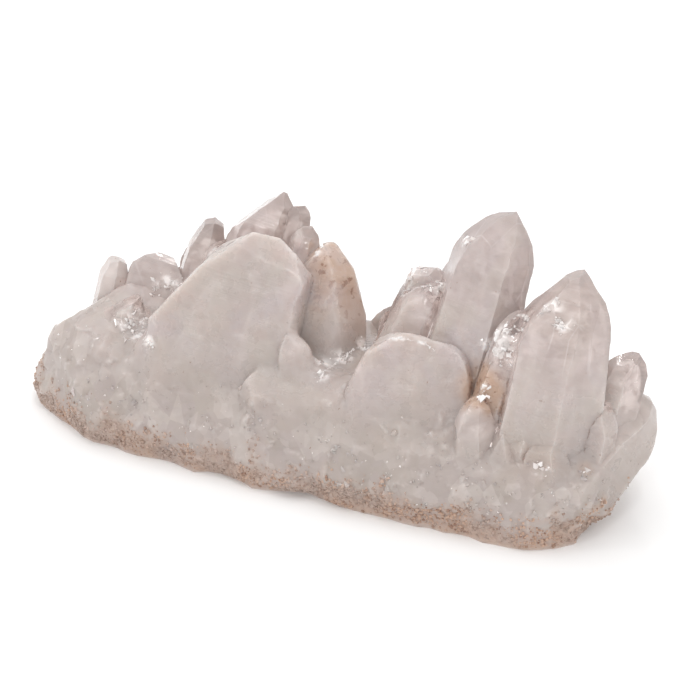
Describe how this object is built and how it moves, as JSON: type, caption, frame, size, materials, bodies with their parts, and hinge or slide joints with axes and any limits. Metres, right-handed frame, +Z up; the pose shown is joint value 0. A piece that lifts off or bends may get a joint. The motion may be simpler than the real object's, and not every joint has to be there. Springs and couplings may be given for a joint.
{
  "type": "quartz crystal cluster",
  "caption": "Long cluster of milky and clear quartz points standing on a plate of stained matrix, cut off flat underneath so that it rests on a shelf.",
  "frame": {"origin": "on the flat underside, below the middle of the cluster's box", "axes": "+X along the plate's long side, towards the end that leans out over its foot; +Y towards the back of the plate, away from the show side; +Z up"},
  "size_m": [0.1666, 0.0604, 0.0724],
  "materials": {
    "quartz": "glassy faces on the points, sugary and stained on the matrix"
  },
  "bodies": {
    "root": {"quartz_cluster": "quartz"}
  },
  "joints": []
}
